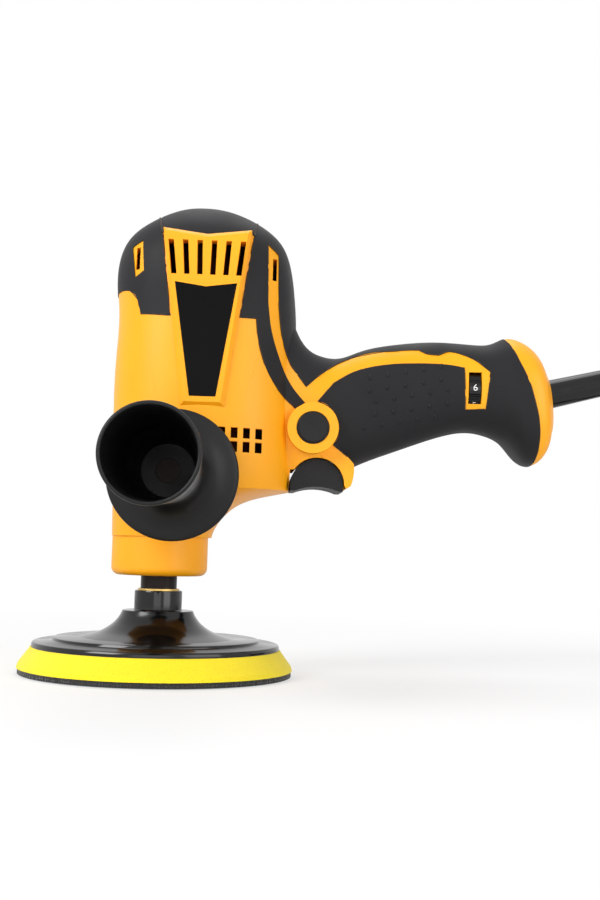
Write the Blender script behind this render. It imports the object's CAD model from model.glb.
"""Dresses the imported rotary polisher: its finishes, mains cord, speed wheel, turned mouldings and trim."""

import math

import bmesh
import bpy
from mathutils import Matrix, Vector


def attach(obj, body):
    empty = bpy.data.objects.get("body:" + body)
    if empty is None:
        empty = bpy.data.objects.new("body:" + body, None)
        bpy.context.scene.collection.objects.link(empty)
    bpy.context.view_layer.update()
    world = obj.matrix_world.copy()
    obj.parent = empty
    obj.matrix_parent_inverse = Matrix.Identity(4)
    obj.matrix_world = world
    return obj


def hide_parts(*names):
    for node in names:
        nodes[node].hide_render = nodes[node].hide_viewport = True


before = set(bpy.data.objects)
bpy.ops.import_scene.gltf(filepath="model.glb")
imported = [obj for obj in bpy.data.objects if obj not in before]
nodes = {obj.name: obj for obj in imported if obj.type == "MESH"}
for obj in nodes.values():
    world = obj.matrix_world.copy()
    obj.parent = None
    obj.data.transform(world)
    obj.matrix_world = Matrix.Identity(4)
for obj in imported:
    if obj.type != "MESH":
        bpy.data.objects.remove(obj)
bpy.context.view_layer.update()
MM = 0.001


# ---------------------------------------------------------------- small tools
def linear(code):
    """sRGB hex to a linear colour."""
    parts = [int(code[k : k + 2], 16) / 255 for k in (1, 3, 5)]
    return tuple(c / 12.92 if c <= 0.04045 else ((c + 0.055) / 1.055) ** 2.4 for c in parts) + (1.0,)


def add(tree, kind, inputs=(), **settings):
    """Adds a shader node with its settings, values and links."""
    made = tree.nodes.new(kind)
    for name, value in settings.items():
        setattr(made, name, value)
    for socket, value in dict(inputs).items():
        if isinstance(value, bpy.types.NodeSocket):
            tree.links.new(value, made.inputs[socket])
        else:
            made.inputs[socket].default_value = value
    return made


def finish_material(name, base, roughness, metallic=0.0, **shader):
    """A named finish with its shader, and coordinates in millimetres."""
    material = bpy.data.materials.new(name)
    material.use_nodes = True
    material.diffuse_color = linear(base)
    tree = material.node_tree
    tree.nodes.clear()
    out = add(tree, "ShaderNodeOutputMaterial")
    values = {"Base Color": linear(base), "Roughness": roughness, "Metallic": metallic}
    values.update({key.replace("_", " "): value for key, value in shader.items()})
    surface = add(tree, "ShaderNodeBsdfPrincipled", values)
    tree.links.new(surface.outputs[0], out.inputs[0])
    place = add(tree, "ShaderNodeTexCoord")
    scaled = add(tree, "ShaderNodeMapping", {0: place.outputs["Object"], "Scale": (1000, 1000, 1000)})
    return material, tree, surface, scaled.outputs[0]


def grain(tree, surface, where, size, depth, detail=3.0):
    """Moulded or cast grain of a size in millimetres, as bump; gives back its noise and its bump."""
    noise = add(tree, "ShaderNodeTexNoise", {"Vector": where, "Scale": 1 / size, "Detail": detail})
    bump = add(tree, "ShaderNodeBump", {"Height": noise.outputs[0], "Strength": depth, "Distance": 0.0002})
    tree.links.new(bump.outputs[0], surface.inputs["Normal"])
    return noise, bump


def vary(tree, surface, where, size, dark, light, low, high):
    """Slow change of colour and roughness over a surface, as handling and the mould leave it."""
    cloud = add(tree, "ShaderNodeTexNoise", {"Vector": where, "Scale": 1 / size, "Detail": 4.0})
    ramp = add(
        tree,
        "ShaderNodeMix",
        {0: cloud.outputs[0], 6: linear(dark), 7: linear(light)},
        data_type="RGBA",
    )
    spread = add(tree, "ShaderNodeMapRange", {0: cloud.outputs[0], 1: 0.3, 2: 0.7, 3: low, 4: high})
    tree.links.new(ramp.outputs[2], surface.inputs["Base Color"])
    tree.links.new(spread.outputs[0], surface.inputs["Roughness"])
    return ramp


def parting_line(tree, surface, where, ramp, bump, code):
    """The hairline where the two moulded halves meet, at y = 0."""
    split = add(tree, "ShaderNodeSeparateXYZ", {0: where})
    side = add(tree, "ShaderNodeMath", {0: split.outputs[1]}, operation="ABSOLUTE")
    line = add(tree, "ShaderNodeMapRange", {0: side.outputs[0], 1: 0.12, 2: 0.3, 3: 1.0, 4: 0.0})
    tint = add(
        tree,
        "ShaderNodeMix",
        {0: line.outputs[0], 6: ramp.outputs[2], 7: linear(code)},
        data_type="RGBA",
    )
    tree.links.new(tint.outputs[2], surface.inputs["Base Color"])
    groove = add(
        tree,
        "ShaderNodeBump",
        {"Height": line.outputs[0], "Normal": bump.outputs[0], "Strength": 0.6, "Distance": 0.0003},
        invert=True,
    )
    tree.links.new(groove.outputs[0], surface.inputs["Normal"])


# ---------------------------------------------------------------- finishes
def moulded_nylon():
    """Glass-filled nylon, spark-eroded mould: a warm yellow with a satin sheen and a very fine grain."""
    material, tree, surface, where = finish_material(
        "Moulded nylon, satin yellow", "#F7A60E", 0.4, IOR=1.5, Specular_IOR_Level=0.34
    )
    # the real grain is 0.1 mm; drawn at 0.5 mm so that it shows
    bump = grain(tree, surface, where, 0.5, 0.16)[1]
    ramp = vary(tree, surface, where, 28.0, "#F49F0A", "#FAAD12", 0.36, 0.46)
    parting_line(tree, surface, where, ramp, bump, "#6E4308")
    return material


def soft_touch_rubber():
    """Thermoplastic rubber overmould: charcoal, nearly matt, with a soft broad sheen."""
    material, tree, surface, where = finish_material(
        "Soft-touch rubber overmould", "#161618", 0.6, IOR=1.5, Specular_IOR_Level=0.22, Sheen_Weight=0.03
    )
    bump = grain(tree, surface, where, 0.45, 0.3)[1]
    ramp = vary(tree, surface, where, 22.0, "#141416", "#1A1A1D", 0.54, 0.68)
    parting_line(tree, surface, where, ramp, bump, "#0A0A0B")
    return material


def textured_nylon(name, dark, light, low, high):
    """Moulded nylon with a spark-eroded texture, drawn at 0.6 mm."""
    material, tree, surface, where = finish_material(
        name, dark, (low + high) / 2, IOR=1.5, Specular_IOR_Level=0.26
    )
    grain(tree, surface, where, 0.6, 0.34)
    vary(tree, surface, where, 18.0, dark, light, low, high)
    return material


def polished_abs():
    """Polished ABS: deep black that mirrors the room, with faint handling marks in its gloss."""
    material, tree, surface, where = finish_material(
        "Polished ABS, black", "#060607", 0.14, IOR=1.5, Specular_IOR_Level=0.4
    )
    grain(tree, surface, where, 6.0, 0.08, 2.0)
    vary(tree, surface, where, 14.0, "#050506", "#0A0A0B", 0.1, 0.22)
    return material


def bare_label():
    """Satin polyester label film, left bare: even black with a slight lustre."""
    material, tree, surface, where = finish_material(
        "Polyester label film", "#040404", 0.35, IOR=1.5, Specular_IOR_Level=0.06
    )
    grain(tree, surface, where, 1.6, 0.05)
    vary(tree, surface, where, 9.0, "#050505", "#090909", 0.26, 0.34)
    return material


def hook_tape():
    """Woven nylon hook tape: rows of stiff hooks every 1.3 mm, dark with pale glints on the hook tips."""
    material, tree, surface, where = finish_material(
        "Woven nylon hook tape", "#161617", 0.72, IOR=1.53, Sheen_Weight=0.25, Sheen_Roughness=0.4
    )
    turned = add(tree, "ShaderNodeMapping", {0: where, "Rotation": (0, 0, 0.42)})
    wander = add(tree, "ShaderNodeTexNoise", {"Vector": turned.outputs[0], "Scale": 0.5, "Detail": 2.0})
    shift = add(
        tree,
        "ShaderNodeVectorMath",
        {0: wander.outputs[1], 1: (0.9, 0.9, 0.9), 2: turned.outputs[0]},
        operation="MULTIPLY_ADD",
    )
    hooks = add(
        tree, "ShaderNodeTexVoronoi", {"Vector": shift.outputs[0], "Scale": 1 / 1.3, "Randomness": 0.35}
    )
    tips = add(tree, "ShaderNodeMapRange", {0: hooks.outputs[0], 1: 0.1, 2: 0.52, 3: 1.0, 4: 0.0})
    fibre = add(
        tree,
        "ShaderNodeTexNoise",
        {"Vector": turned.outputs[0], "Scale": 3.4, "Detail": 4.0, "Roughness": 0.75},
    )
    mixed = add(tree, "ShaderNodeMath", {0: tips.outputs[0], 1: fibre.outputs[0]}, operation="MULTIPLY")
    colour = add(
        tree,
        "ShaderNodeMix",
        {0: mixed.outputs[0], 6: linear("#0D0D0E"), 7: linear("#4E4E50")},
        data_type="RGBA",
    )
    tree.links.new(colour.outputs[2], surface.inputs["Base Color"])
    bump = add(tree, "ShaderNodeBump", {"Height": mixed.outputs[0], "Strength": 0.9, "Distance": 0.0009})
    tree.links.new(bump.outputs[0], surface.inputs["Normal"])
    return material


def polyurethane_foam():
    """Cut polyurethane foam: bright yellow, dry, with open pores of about half a millimetre."""
    material, tree, surface, where = finish_material(
        "Polyurethane foam, cut", "#F2DF1C", 0.86, IOR=1.45, Sheen_Weight=0.2
    )
    pores = add(tree, "ShaderNodeTexVoronoi", {"Vector": where, "Scale": 1 / 0.7, "Randomness": 1.0})
    open_cells = add(tree, "ShaderNodeMapRange", {0: pores.outputs[0], 1: 0.0, 2: 0.34, 3: 0.0, 4: 1.0})
    colour = add(
        tree,
        "ShaderNodeMix",
        {0: open_cells.outputs[0], 6: linear("#D6BA10"), 7: linear("#F5DE1C")},
        data_type="RGBA",
    )
    tree.links.new(colour.outputs[2], surface.inputs["Base Color"])
    bump = add(
        tree, "ShaderNodeBump", {"Height": open_cells.outputs[0], "Strength": 0.5, "Distance": 0.0003}
    )
    tree.links.new(bump.outputs[0], surface.inputs["Normal"])
    return material


def machined_metal(name, code, roughness, mark, depth, stretch=(1, 1, 14)):
    """Turned or ground metal: fine tool marks across the axis, a little colour change."""
    material, tree, surface, where = finish_material(name, code, roughness, 1.0)
    drawn = add(tree, "ShaderNodeMapping", {0: where, "Scale": stretch})
    marks = grain(tree, surface, drawn.outputs[0], mark, depth, 2.0)[0]
    spread = add(
        tree,
        "ShaderNodeMapRange",
        {0: marks.outputs[0], 1: 0.3, 2: 0.7, 3: roughness * 0.8, 4: roughness * 1.25},
    )
    tree.links.new(spread.outputs[0], surface.inputs["Roughness"])
    return material


def layered(name, code, dark, pitch, direction, metallic, roughness):
    """Sheets or wires lying side by side at a pitch in millimetres, with dark lines between them."""
    material, tree, surface, where = finish_material(name, code, roughness, metallic)
    bands = add(
        tree,
        "ShaderNodeTexWave",
        {"Vector": where, "Scale": 0.314 / pitch, "Distortion": 0.3, "Detail": 1.0},
        bands_direction=direction,
    )
    colour = add(
        tree,
        "ShaderNodeMix",
        {0: bands.outputs[1], 6: linear(dark), 7: linear(code)},
        data_type="RGBA",
    )
    tree.links.new(colour.outputs[2], surface.inputs["Base Color"])
    bump = add(tree, "ShaderNodeBump", {"Height": bands.outputs[1], "Strength": 0.6, "Distance": 0.0003})
    tree.links.new(bump.outputs[0], surface.inputs["Normal"])
    return material


def vinyl_jacket():
    """Extruded vinyl: smooth black with a waxy gloss and faint scuffs."""
    material, tree, surface, where = finish_material(
        "Extruded vinyl jacket", "#0A0A0B", 0.3, IOR=1.5, Specular_IOR_Level=0.4
    )
    grain(tree, surface, where, 1.8, 0.08)
    vary(tree, surface, where, 12.0, "#08080A", "#101011", 0.22, 0.36)
    return material


def printed_ink():
    """White pad-printed ink: slightly raised and worn thin in specks."""
    material, tree, surface, where = finish_material("White pad-printed ink", "#E9E9E6", 0.5)
    vary(tree, surface, where, 0.6, "#D4D4D0", "#F2F2EF", 0.45, 0.6)
    return material


def groove_finish():
    """Shut-off groove beside the overmould: dark brown where yellow nylon meets black rubber."""
    material, tree, surface, where = finish_material("Overmould shut-off groove", "#2A1608", 0.7)
    vary(tree, surface, where, 5.0, "#1E1006", "#35200E", 0.65, 0.8)
    return material


def phenolic_board():
    """Phenolic board and tube: dull red-brown with a faint pressed mottle, dark inside the casing."""
    material, tree, surface, where = finish_material(
        "Phenolic board", "#3C1A0C", 0.6, IOR=1.5, Specular_IOR_Level=0.2
    )
    grain(tree, surface, where, 1.0, 0.2)
    vary(tree, surface, where, 4.0, "#2E1208", "#4A2110", 0.55, 0.7)
    return material


YELLOW = moulded_nylon()
RUBBER = soft_touch_rubber()
HANDLE = textured_nylon("Moulded nylon, black", "#0A0A0B", "#121213", 0.36, 0.46)
SMALL_BLACK = textured_nylon("Moulded nylon, matt black", "#0F0F10", "#161618", 0.5, 0.62)
WHITE_NYLON = textured_nylon("Natural nylon", "#D9D6CB", "#E6E3DA", 0.45, 0.55)
CARBON = textured_nylon("Pressed carbon", "#1B1B1C", "#2A2A2B", 0.6, 0.75)
GLOSS = polished_abs()
LABEL = bare_label()
HOOKS = hook_tape()
FOAM = polyurethane_foam()
JACKET = vinyl_jacket()
INK = printed_ink()
GROOVE = groove_finish()
PHENOLIC = phenolic_board()
STEEL = machined_metal("Turned steel", "#A9A9AC", 0.32, 0.8, 0.25)
BLACKENED = machined_metal("Black-oxide steel", "#2B2725", 0.38, 0.8, 0.2)
BEARING = machined_metal("Ground bearing steel", "#C2C3C6", 0.18, 0.5, 0.1)
BRASS = machined_metal("Turned brass", "#D2B06A", 0.3, 0.8, 0.25)
ZINC = machined_metal("Zinc-plated steel", "#B9BABD", 0.36, 1.2, 0.2, (1, 1, 1))
CAST = machined_metal("Die-cast aluminium", "#BDBEC0", 0.5, 1.4, 0.4, (1, 1, 1))
SHEETS = layered("Stacked silicon steel sheet", "#7A7A7E", "#3A3A3D", 0.5, "Z", 1.0, 0.45)
COPPER = layered("Enamelled copper wire", "#B5561F", "#5A2408", 0.6, "Z", 0.6, 0.3)
BARS = layered("Copper commutator bars", "#C9824F", "#4A2A18", 1.6, "X", 1.0, 0.25)

NODE_FINISH = {
    YELLOW: ["housing_left", "housing_right"],
    RUBBER: [
        "dome_cap", "front_guard_left", "front_guard_right", "grip_rubber_left", "grip_rubber_right",
    ],
    HANDLE: ["side_handle_grip", "cooling_fan"],
    SMALL_BLACK: ["trigger", "lock_button", "switch_body", "speed_module"],
    WHITE_NYLON: ["cord_clamp"],
    CARBON: ["carbon_brushes"],
    GLOSS: ["backing_plate", "speed_dial", "strain_relief"],
    LABEL: ["label_plate_left", "label_plate_right"],
    HOOKS: ["hook_face"],
    FOAM: ["foam_pad"],
    JACKET: ["cord_lead", "cord_tail", "cord_coil", "plug"],
    STEEL: [
        "spindle_gear", "spindle_spacer", "armature_shaft", "handle_washer", "trigger_spring", "lock_spring",
        "brush_springs",
    ],
    BLACKENED: ["pad_insert", "spindle", "handle_stud"],
    BEARING: ["spindle_bearing", "lower_motor_bearing", "upper_motor_bearing"],
    BRASS: ["pad_washer", "spindle_bush", "handle_insert", "brush_holders", "plug_pins"],
    ZINC: ["housing_screws"],
    CAST: ["gear_plate"],
    SHEETS: ["armature_core", "field_core"],
    COPPER: ["armature_windings", "field_coils"],
    BARS: ["commutator"],
}
for finish, names in NODE_FINISH.items():
    for name in names:
        mesh = nodes[name].data
        mesh.materials.clear()
        mesh.materials.append(finish)


def put_in_scene(name, data):
    """A new object in the scene, at the origin."""
    made = bpy.data.objects.new(name, data)
    bpy.context.scene.collection.objects.link(made)
    return made


def mesh_of(outline, material):
    """The mesh of a curve or a text, with one finish."""
    holder = put_in_scene(outline.name, outline)
    mesh = bpy.data.meshes.new_from_object(holder)
    bpy.data.objects.remove(holder)
    mesh.materials.clear()
    mesh.materials.append(material)
    return mesh


def keep(bm, name, material, body, smooth=40.0):
    """Turns a bmesh into a piece that rides on a CAD body, its faces smooth up to an angle in degrees."""
    bmesh.ops.recalc_face_normals(bm, faces=bm.faces)
    mesh = bpy.data.meshes.new(name)
    limit = math.radians(smooth)
    for face in bm.faces:
        face.smooth = True
    for edge in bm.edges:
        edge.smooth = len(edge.link_faces) == 2 and edge.calc_face_angle(0.0) < limit
    bm.to_mesh(mesh)
    bm.free()
    mesh.materials.append(material)
    piece = put_in_scene(name, mesh)
    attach(piece, body)
    return piece


# ---------------------------------------------------------------- mains cord
RELIEF_TILT = math.radians(14.0)
RELIEF_END = (180.0 + 40.0 * math.cos(RELIEF_TILT), 0.0, 134.3 + 40.0 * math.sin(RELIEF_TILT))
LEAD_ROUTE = [
    (237.7, 0.0, 148.7), (261.0, 1.0, 144.6), (279.5, 3.0, 130.0), (291.0, 6.0, 107.0), (296.5, 8.5, 82.0),
    (300.5, 11.0, 58.0), (305.6, 12.6, 36.8), (315.0, 15.6, 21.6), (327.5, 20.6, 11.0), (342.0, 28.4, 5.2),
    (356.0, 40.5, 3.5), (364.6, 57.5, 3.4), (367.4, 77.5, 3.4), (366.4, 97.0, 3.4),
]
TAIL_ROUTE = [
    (283.6, 99.0, 23.8), (283.6, 85.0, 23.6), (283.4, 71.5, 18.8), (281.8, 58.0, 12.0), (276.4, 45.0, 7.1),
    (266.4, 31.6, 7.1),
]
COIL_CENTRE = (325, 100)
# A smooth line with sixteen points to a turn runs at this share of their radius.
LINE_INSIDE = 0.981
# Angle round the coil in degrees, radius and height: six turns in three layers of two.
COIL_STEPS = [
    (12, 41.5, 3.4), (295, 41.5, 3.4), (330, 34.5, 3.4), (620, 34.5, 3.4), (655, 34.5, 10.3),
    (945, 34.5, 10.3), (980, 41.5, 10.3), (1270, 41.5, 10.3), (1305, 41.5, 17.2), (1595, 41.5, 17.2),
    (1630, 34.5, 17.2), (1920, 34.5, 17.2), (1955, 37.2, 24.0), (1966, 39.6, 24.2),
]


def coil_points():
    """The coil's turns, sixteen points to a turn, drawn out because the smooth line runs inside them."""
    points = []
    for (a0, r0, z0), (a1, r1, z1) in zip(COIL_STEPS, COIL_STEPS[1:]):
        count = max(1, round((a1 - a0) / 22.5))
        for k in range(count):
            t = k / count
            angle = math.radians(a0 + (a1 - a0) * t)
            reach = (r0 + (r1 - r0) * t) / LINE_INSIDE
            x = COIL_CENTRE[0] + reach * math.cos(angle)
            y = COIL_CENTRE[1] + reach * math.sin(angle)
            points.append((x, y, z0 + (z1 - z0) * t))
    return points


def make_cord():
    """The mains cord, one smooth round line from the strain relief to the plug."""
    curve = bpy.data.curves.new("mains_cord", "CURVE")
    curve.dimensions = "3D"
    route = [RELIEF_END] + LEAD_ROUTE + coil_points() + TAIL_ROUTE
    spline = curve.splines.new("NURBS")
    spline.points.add(len(route) - 1)
    for point, (x, y, z) in zip(spline.points, route):
        point.co = (x * MM, y * MM, z * MM, 1.0)
    spline.order_u = 3
    spline.use_endpoint_u = True
    curve.resolution_u = 5
    curve.bevel_depth = 3.4 * MM
    curve.bevel_resolution = 5
    curve.use_fill_caps = True
    curve.materials.append(JACKET)
    cord = put_in_scene("mains_cord", curve)
    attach(cord, "housing")
    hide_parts("cord_lead", "cord_tail", "cord_coil")


# ---------------------------------------------------------------- speed wheel
DIAL = Vector((142.3, -9.2, 134.0)) * MM
NUMBERS = 6
NUMBER_STEP = 52  # degrees from one number to the next
NUMBER_ROOM = 15  # degrees on each side of a number that stay smooth
RIB_FOOT = 0.965  # radius between the ribs, as a share of the wheel's radius


def make_speed_wheel():
    """Thumbwheel with fine grip ribs between its six numbers; the ribs run along the wheel's axis."""
    radius, width = 9.5 * MM, 5.0 * MM
    bm = bmesh.new()
    made = bmesh.ops.create_circle(bm, cap_ends=True, segments=210, radius=radius)
    for k, vert in enumerate(sorted(made["verts"], key=lambda v: math.atan2(v.co.y, v.co.x))):
        angle = math.degrees(math.atan2(vert.co.y, vert.co.x))
        nearest = min(abs((angle + 90 + NUMBER_STEP * n + 180) % 360 - 180) for n in range(NUMBERS))
        if nearest > NUMBER_ROOM and k % 3 == 0:
            vert.co *= RIB_FOOT
    swept = bmesh.ops.extrude_face_region(bm, geom=bm.faces[:])
    top = [v for v in swept["geom"] if isinstance(v, bmesh.types.BMVert)]
    bmesh.ops.translate(bm, verts=top, vec=(0, 0, width))
    rims = [f for f in bm.faces if abs(f.normal.z) > 0.9]
    bmesh.ops.inset_region(bm, faces=rims, thickness=0.5 * MM, depth=0.25 * MM)
    bmesh.ops.create_cone(
        bm, cap_ends=True, segments=32, radius1=2 * MM, radius2=2 * MM, depth=4.2 * MM,
        matrix=Matrix.Translation((0, 0, -1.9 * MM)),
    )
    turn = Matrix.Rotation(math.radians(90), 4, "Y")
    lift = Matrix.Translation(DIAL - Vector((width / 2, 0, 0)))
    bmesh.ops.transform(bm, matrix=lift @ turn, verts=bm.verts)
    wheel = keep(bm, "speed_wheel", GLOSS, "speed_dial", 35.0)
    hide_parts("speed_dial")
    for k in range(NUMBERS):
        number = NUMBERS - k
        text = bpy.data.curves.new("wheel_number_%d" % number, "FONT")
        text.body = str(number)
        text.size = 4.4 * MM
        text.extrude = 0.06 * MM
        text.align_x = "CENTER"
        text.align_y = "CENTER"
        mesh = mesh_of(text, INK)
        stand = Matrix.Rotation(math.radians(90), 4, "X")
        round_wheel = Matrix.Rotation(math.radians(NUMBER_STEP * k), 4, "X")
        out = Matrix.Translation((0, -radius, 0))
        mesh.transform(Matrix.Translation(DIAL) @ round_wheel @ out @ stand)
        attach(put_in_scene("wheel_number_%d" % number, mesh), "speed_dial")


# -------------------------------------------------------- turned mouldings: side handle and backing plate
def turned_piece(name, outline, place, finish, body, replaced, smooth):
    """A moulding turned about Z from (radius, height) points; an outline that starts on the axis is open."""
    bm = bmesh.new()
    ring = [bm.verts.new((r * MM, 0, height * MM)) for r, height in outline]
    back = ring[:1] if outline[0][0] > 0 else []
    edges = [bm.edges.new((one, two)) for one, two in zip(ring, ring[1:] + back)]
    bmesh.ops.spin(
        bm, geom=ring + edges, cent=(0, 0, 0), axis=(0, 0, 1), angle=math.tau, steps=120, use_merge=True
    )
    bmesh.ops.remove_doubles(bm, verts=bm.verts, dist=1e-6)
    bmesh.ops.transform(bm, matrix=place, verts=bm.verts)
    piece = keep(bm, name, finish, body, smooth)
    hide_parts(replaced)


HANDLE_AXIS = Vector((7.6, -46.2, 88.4)) * MM
# (radius, distance out from the flange's back): flange, dished face and neck, swelling grip, mouth, bore.
HANDLE_PROFILE = [
    (5.1, 0.03), (26.6, 0.03), (27.6, 0.25), (28.15, 0.8), (28.3, 1.5), (28.2, 2.2), (27.8, 2.75),
    (27.0, 3.1), (25.4, 3.35), (23.4, 3.75), (21.2, 4.45), (19.2, 5.5), (17.4, 6.9), (15.9, 8.7),
    (14.8, 10.9), (14.0, 13.6), (13.6, 16.8), (13.5, 20.6), (13.6, 30.0), (13.9, 42.0), (14.4, 56.0),
    (15.0, 70.0), (15.8, 85.0), (16.6, 100.0), (17.2, 112.0), (17.38, 116.4), (17.3, 117.1),
    (17.05, 117.55), (16.6, 117.7), (16.15, 117.6), (15.9, 117.2), (15.75, 116.2), (15.0, 100.0),
    (13.6, 75.0), (12.2, 55.0), (11.2, 36.0), (10.8, 27.4), (5.1, 27.4),
]


def make_side_handle():
    """Side handle as one turned moulding: thin rounded flange, dished face, slim neck and an open mouth."""
    place = Matrix.Translation(HANDLE_AXIS) @ Matrix.Rotation(math.radians(90), 4, "X")
    turned_piece(
        "side_handle_moulding", HANDLE_PROFILE, place, HANDLE, "side_handle",
        "side_handle_grip", 50.0,
    )


# Backing plate as (radius, height): bore, hub and shoulder; the hollow flare; the step and rounded rim.
PLATE_HUB = [
    (0.0, 22.6), (8.6, 22.6), (8.6, 37.7), (10.3, 37.7), (10.75, 37.5), (10.9, 37.0), (10.9, 29.0),
    (11.3, 28.6), (15.7, 28.6), (16.15, 28.5),
]
PLATE_FLARE = [(16.35, 28.1), (17.6, 25.6), (20.6, 22.2), (26.2, 18.7), (35.0, 16.1)]
PLATE_RIM = [
    (46.2, 16.1), (46.8, 15.9), (47.05, 15.4), (47.2, 14.9), (47.6, 14.6), (54.9, 14.2), (55.8, 13.9),
    (56.2, 13.3), (56.3, 12.6), (56.3, 11.7), (0.0, 11.7),
]


def make_backing_plate():
    """Backing plate as one polished moulding whose hub flares hollow into the disc."""
    outline = PLATE_HUB + smooth_run(PLATE_FLARE, 1.0) + PLATE_RIM
    turned_piece(
        "backing_plate_moulding", outline, Matrix(), GLOSS, "spindle",
        "backing_plate", 35.0,
    )


# -------------------------------------------------------- small trim set against the casing's own surface
SKIN = {
    -1: ["housing_left", "front_guard_left", "grip_rubber_left", "dome_cap", "label_plate_left"],
    1: ["housing_right", "front_guard_right", "grip_rubber_right", "dome_cap", "label_plate_right"],
}


def surface_at(x, z, side, names=None):
    """Outermost point of the casing at (x, z) seen from one side, with its normal, or None off the casing."""
    best = None
    for name in names or SKIN[side]:
        hit, spot, normal, _ = nodes[name].ray_cast((x * MM, side * 0.08, z * MM), (0, -side, 0))
        if hit and (best is None or side * spot.y > side * best[0].y):
            best = (spot, normal)
    return best


NUB_ROWS, NUB_COLUMNS = 5, 6
# The upper front nub as (x, z), then the steps from column to column and from row to row.
NUB_START, NUB_ACROSS, NUB_DOWN = (94, 137.5), (8.2, 1.55), (-2.6, -6.2)
NUB_STAGGER = 2.5  # how far every second row is set back
NUB_FRONT, NUB_REAR = 90, 131  # no nubs in front of the one or behind the other


def make_nubs():
    """Small oval nubs over the palm, in staggered rows on the slope of the grip."""
    bm = bmesh.new()
    for side in (-1, 1):
        for row in range(NUB_ROWS):
            for column in range(NUB_COLUMNS):
                stagger = NUB_STAGGER if row % 2 else 0
                x = NUB_START[0] + NUB_ACROSS[0] * column + NUB_DOWN[0] * row + stagger
                z = NUB_START[1] + NUB_DOWN[1] * row + NUB_ACROSS[1] * column
                found = surface_at(x, z, side, ["grip_rubber_left" if side < 0 else "grip_rubber_right"])
                if not found or abs(found[1].y) < 0.6 or not NUB_FRONT < x < NUB_REAR:
                    continue
                spot, normal = found
                frame_turn = normal.to_track_quat("Z", "X").to_matrix().to_4x4()
                squash = Matrix.Diagonal((1.25, 0.95, 0.5, 1.0))
                bmesh.ops.create_icosphere(
                    bm, subdivisions=2, radius=1.1 * MM,
                    matrix=Matrix.Translation(spot - normal * 0.1 * MM) @ frame_turn @ squash,
                )
    nubs = keep(bm, "grip_nubs", RUBBER, "housing", 80.0)


# Housing screws seen from the side, as (x, z).
SCREW_SPOTS = [
    (-11, 195), (47, 190), (54.5, 143), (-16.2, 90.5), (51.8, 89.8),
    (98.5, 109.6), (104, 147.2), (150.5, 149), (156.5, 119),
]

# Edges of the rubber from the side, as (x, z): a tuple is a corner, a list a smooth run from the last one.
RUBBER_EDGES = {
    "grip_stripe_outer": [
        (41.4, 159.9), [(42.6, 150.0), (46.1, 139.0), (51.4, 130.2), (60.4, 121.6)], (64.6, 124.2),
        [(57.6, 132.4), (52.0, 143.6), (48.0, 155.6), (46.2, 168.0)], (45.6, 195.6), (50.6, 191.6),
        [(51.2, 170.0), (53.4, 153.0), (57.6, 141.6)], (64.9, 132.2),
        [(72.6, 139.4), (84.0, 146.6), (102.0, 150.8)], (116.8, 151.8),
        [(119.8, 149.9), (125.6, 149.3)], (130.6, 151.3),
        [(137.0, 149.8), (143.4, 146.6)], (149.2, 141.6), (147.6, 124.4), (138.0, 124.0), (137.2, 143.2),
        [(126.8, 144.6), (104.0, 144.0), (88.4, 140.6), (77.6, 134.4)], (70.4, 125.6),
        [(77.6, 121.6), (80.6, 113.4), (78.0, 106.0)], (89.4, 97.0), (88.2, 92.0),
    ],
    "grip_end_edge": [
        (171.4, 99.0), [(172.2, 108.0), (171.3, 119.2), (166.9, 136.0)], (157.6, 158.0),
    ],
    "rear_guard_edge": [(39.1, 197.0), (34.0, 159.6), (41.4, 159.9)],
    "front_guard_edge": [
        (-30.0, 173.45), (-20.6, 173.4), [(-16.0, 172.2), (-12.0, 167.5)], (-10.4, 160.9), (3.2, 159.4),
        (-1.7, 197.0),
    ],
    "dome_edge": [(-1.5, 199.4), (18.6, 196.8), (39.2, 199.4)],
}
# The seams between the dome cap and the guards: filled with rubber, with a dark line along the filling.
DOME_SEAMS = {
    "front_seam": [(-1.7, 197.6), (-4.6, 209.2), (-5.2, 218.0)],
    "rear_seam": [(39.2, 198.0), (40.3, 208.2), (40.7, 218.0)],
}


def smooth_run(points, spacing):
    """Close points along a smooth line through the given ones."""
    line = []
    ends = [points[0]] + points + [points[-1]]
    for p0, p1, p2, p3 in zip(ends, ends[1:], ends[2:], ends[3:]):
        count = max(2, round(math.dist(p1, p2) / spacing))
        for k in range(count):
            t = k / count
            line.append(
                tuple(
                    0.5 * (2 * b + (c - a) * t + (2 * a - 5 * b + 4 * c - d) * t * t
                           + (3 * b - a - 3 * c + d) * t ** 3)
                    for a, b, c, d in zip(p0, p1, p2, p3)
                )
            )
    return line + [points[-1]]


def edge_line(steps, spacing):
    """Close points along an edge's corners and smooth runs."""
    line = [steps[0]]
    for step in steps[1:]:
        ahead = step if isinstance(step, list) else [step]
        line += smooth_run([line[-1]] + ahead, spacing)[1:]
    return line


# A spot that no ray hits, which ends the last run of a line.
OFF_CASING = (0.0, 900.0)
# A run that ends this near the middle of the casing, in millimetres, is carried on to it.
NEAR_MIDDLE = 4


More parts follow.
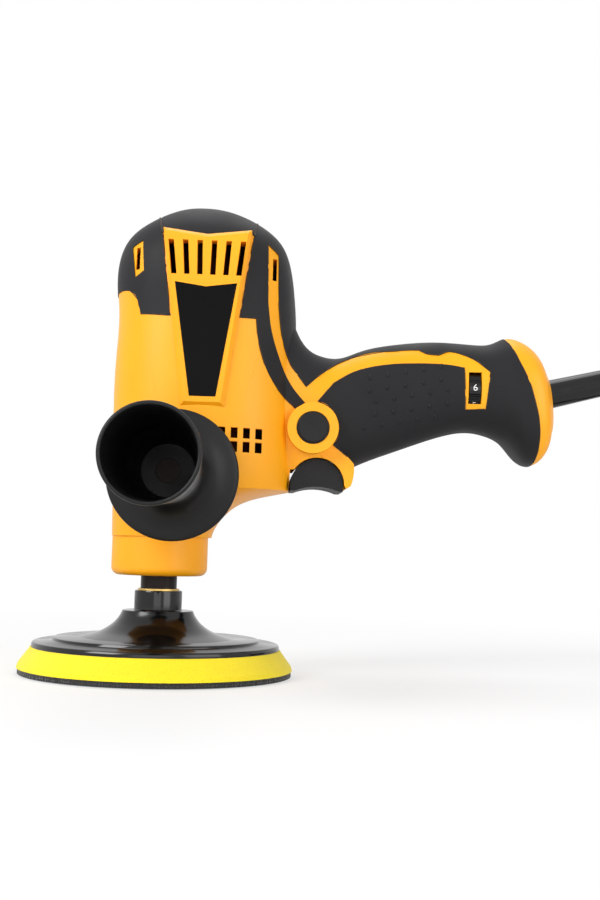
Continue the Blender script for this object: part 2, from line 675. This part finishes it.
def make_grooves(name, lines, radius, spacing, reach, finish, sunk=0.12):
    """Round beads along lines on the casing, sunk a little into its surface, on both sides."""
    for side in (-1, 1):
        tag = "left" if side < 0 else "right"
        curve = bpy.data.curves.new(name + tag, "CURVE")
        curve.dimensions = "3D"
        curve.bevel_depth = radius * MM
        curve.bevel_resolution = 1
        for steps in lines.values():
            run = []
            for spot in edge_line(steps, spacing) + [OFF_CASING]:
                found = surface_at(*spot, side)
                if found and (not run or (found[0] - run[-1]).length < reach * MM):
                    run.append(found[0] - found[1] * sunk * MM)
                    continue
                if len(run) > 2:
                    if abs(run[-1].y) < NEAR_MIDDLE * MM:
                        run.append(Vector((run[-1].x, 0.0, run[-1].z)))
                    spline = curve.splines.new("POLY")
                    spline.points.add(len(run) - 1)
                    for point, place in zip(spline.points, run):
                        point.co = (*place, 1.0)
                run = [found[0]] if found else []
        piece = put_in_scene(name + tag, mesh_of(curve, finish))
        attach(piece, "housing")


# Low creases in the yellow head, seen from the side, as (x, z).
CREASES = {
    "front_crease": [(-9.9, 159.6), (-7.3, 148.4), (-4.3, 135.3), (-0.6, 122.0), (1.4, 114.0)],
    "rear_crease": [(26.4, 112.2), (30.4, 115.4), (34.2, 121.0), (37.4, 127.4), (40.2, 134.4), (42.2, 142.0)],
}


def make_screw_heads():
    """Cross-recessed pan heads over the nine housing screws."""
    heads, slots = bmesh.new(), bmesh.new()
    bars = ((2.9, 0.62), (0.62, 2.9))
    for x, z in SCREW_SPOTS:
        found = surface_at(x, z, 1, ["housing_screws"])
        if not found:
            continue
        place = Matrix.Translation(found[0]) @ Matrix.Rotation(-math.pi / 2, 4, "X")
        turn = Matrix.Rotation(math.radians(17 * x % 90), 4, "Z")
        bmesh.ops.create_uvsphere(
            heads, u_segments=28, v_segments=12, radius=2.85 * MM,
            matrix=place @ Matrix.Diagonal((1, 1, 0.26, 1)),
        )
        for long, wide in bars:
            bmesh.ops.create_cube(
                slots, size=MM, matrix=place @ turn @ Matrix.Translation((0, 0, 0.5 * MM))
                @ Matrix.Diagonal((long, wide, 0.5, 1)),
            )
    keep(heads, "screw_heads", ZINC, "housing", 60.0)
    keep(slots, "screw_recesses", GROOVE, "housing")


def round_guard(name, radius, foot, height):
    """Thin dark tube standing round the motor's axis inside the casing."""
    bm = bmesh.new()
    bmesh.ops.create_circle(bm, segments=72, radius=radius * MM)
    rise = bmesh.ops.extrude_edge_only(bm, edges=bm.edges[:])
    top = [g for g in rise["geom"] if isinstance(g, bmesh.types.BMVert)]
    bmesh.ops.translate(bm, verts=top, vec=(0, 0, height * MM))
    bmesh.ops.solidify(bm, geom=bm.faces[:], thickness=0.8 * MM)
    bmesh.ops.translate(bm, verts=bm.verts, vec=(18 * MM, 0, foot * MM))
    guard = keep(bm, name, PHENOLIC, "housing")


def divider(name, middle, sides):
    """Thin dark wall across the inside of the casing."""
    bm = bmesh.new()
    bmesh.ops.create_cube(
        bm, size=1.0, matrix=Matrix.LocRotScale(Vector(middle) * MM, None, Vector(sides) * MM)
    )
    bmesh.ops.bevel(
        bm, geom=bm.edges[:], offset=0.3 * MM, segments=2, affect="EDGES", profile=0.5, material=-1
    )
    wall = keep(bm, name, PHENOLIC, "housing")


# ---------------------------------------------------------------- room, light and camera
def make_room():
    """A white floor and a plain world that lights the tool softly."""
    floor_finish, tree, surface, where = finish_material("Matt studio floor", "#F4F4F3", 0.9)
    grain(tree, surface, where, 3.0, 0.04)
    out = [n for n in tree.nodes if n.type == "OUTPUT_MATERIAL"][0]
    seen = add(tree, "ShaderNodeLightPath")
    glow = add(tree, "ShaderNodeEmission", {"Color": (1, 1, 1, 1), "Strength": 1.0})
    # white further out, so that the floor runs into the background; near the tool it keeps the shadow
    far = add(tree, "ShaderNodeVectorMath", {0: where}, operation="LENGTH")
    fade = add(tree, "ShaderNodeMapRange", {0: far.outputs["Value"], 1: 120.0, 2: 520.0, 3: 0.55, 4: 1.0})
    share = add(
        tree,
        "ShaderNodeMath",
        {0: seen.outputs["Is Camera Ray"], 1: fade.outputs[0]},
        operation="MULTIPLY",
    )
    blend = add(
        tree, "ShaderNodeMixShader", {0: share.outputs[0], 1: surface.outputs[0], 2: glow.outputs[0]}
    )
    # the floor is open from below, so that the pad's face can be looked at
    under = add(tree, "ShaderNodeNewGeometry")
    clear = add(tree, "ShaderNodeBsdfTransparent")
    one_sided = add(
        tree,
        "ShaderNodeMixShader",
        {0: under.outputs["Backfacing"], 1: blend.outputs[0], 2: clear.outputs[0]},
    )
    tree.links.new(one_sided.outputs[0], out.inputs[0])
    bm = bmesh.new()
    bmesh.ops.create_grid(bm, x_segments=1, y_segments=1, size=6.0)
    mesh = bpy.data.meshes.new("studio_floor")
    bm.to_mesh(mesh)
    bm.free()
    mesh.materials.append(floor_finish)
    floor = put_in_scene("studio_floor", mesh)
    floor.location.z = -0.0004

    world = bpy.data.worlds.new("Studio")
    bpy.context.scene.world = world
    world.use_nodes = True
    tree = world.node_tree
    tree.nodes.clear()
    paths = add(tree, "ShaderNodeLightPath")
    first = add(
        tree,
        "ShaderNodeMath",
        {0: paths.outputs["Is Camera Ray"], 1: paths.outputs["Is Glossy Ray"]},
        operation="MAXIMUM",
    )
    shown = add(
        tree,
        "ShaderNodeMath",
        {0: first.outputs[0], 1: paths.outputs["Is Transmission Ray"]},
        operation="MAXIMUM",
    )
    fill = add(tree, "ShaderNodeBackground", {"Color": linear("#F7F8FA"), "Strength": 0.4})
    white = add(tree, "ShaderNodeBackground", {"Color": (1, 1, 1, 1), "Strength": 1.0})
    either = add(tree, "ShaderNodeMixShader", {0: shown.outputs[0], 1: fill.outputs[0], 2: white.outputs[0]})
    output = add(tree, "ShaderNodeOutputWorld")
    tree.links.new(either.outputs[0], output.inputs[0])


def lamp(name, place, aim, size, power, tint="#FFFFFF"):
    """A square area lamp at a place, aimed at a point."""
    data = bpy.data.lights.new(name, "AREA")
    data.shape = "SQUARE"
    data.size = size
    data.energy = power
    data.color = linear(tint)[:3]
    holder = put_in_scene(name, data)
    holder.location = place
    holder.rotation_mode = "QUATERNION"
    holder.rotation_quaternion = (Vector(aim) - Vector(place)).to_track_quat("-Z", "Y")


CAMERA_PLACE = (0.0414, -0.5456, 0.0586)
CAMERA_TURN = (2.32, 4.81, 1.57)  # yaw to the right, pitch upward and roll, in degrees


def make_camera():
    """Camera in front of the tool's left side, a little low and looking slightly up."""
    yaw, pitch, roll = (math.radians(angle) for angle in CAMERA_TURN)
    forward = Vector((math.sin(yaw) * math.cos(pitch), math.cos(yaw) * math.cos(pitch), math.sin(pitch)))
    level = Vector((math.cos(yaw), -math.sin(yaw), 0))
    above = level.cross(forward)
    right = level * math.cos(roll) + above * math.sin(roll)
    up = above * math.cos(roll) - level * math.sin(roll)
    data = bpy.data.cameras.new("camera")
    data.lens = 46.8
    data.sensor_width = 36
    data.clip_start = 0.01
    data.clip_end = 50
    camera = put_in_scene("camera", data)
    turn = Matrix((right, up, -forward)).transposed().to_4x4()
    camera.matrix_world = Matrix.Translation(CAMERA_PLACE) @ turn
    bpy.context.scene.camera = camera


make_camera()
make_cord()
make_speed_wheel()
make_nubs()
make_grooves("overmould_groove_", RUBBER_EDGES, 0.3, 1.6, 4.0, GROOVE)
make_grooves("dome_seam_", DOME_SEAMS, 1.5, 0.06, 14.0, RUBBER, 0.9)
make_grooves("dome_line_", DOME_SEAMS, 0.35, 0.06, 14.0, GROOVE, -0.4)
make_grooves("casing_crease_", CREASES, 0.6, 1.6, 4.0, YELLOW, 0.5)
make_screw_heads()
make_side_handle()
make_backing_plate()
round_guard("fan_air_guide", 28.6, 86.0, 24.0)
round_guard("brush_end_guard", 21.0, 177.0, 20.0)
divider("front_divider", (-15.0, 0.0, 105.5), (8.0, 1.2, 20.0))
divider("rear_divider", (49.0, 0.0, 182.0), (8.0, 1.2, 24.0))
make_room()
centre = (0.03, 0.0, 0.12)
lamp("key_softbox", (-1.1, -1.0, 0.9), centre, 0.8, 21.5)
lamp("fill_softbox", (1.2, -1.1, 0.5), centre, 1.0, 9.5)
lamp("top_softbox", (0.1, 0.4, 1.5), centre, 1.0, 7.5)
lamp("low_front_card", (0.0, -1.3, 0.1), centre, 0.8, 3.0)
bpy.context.scene.view_settings.view_transform = "Standard"
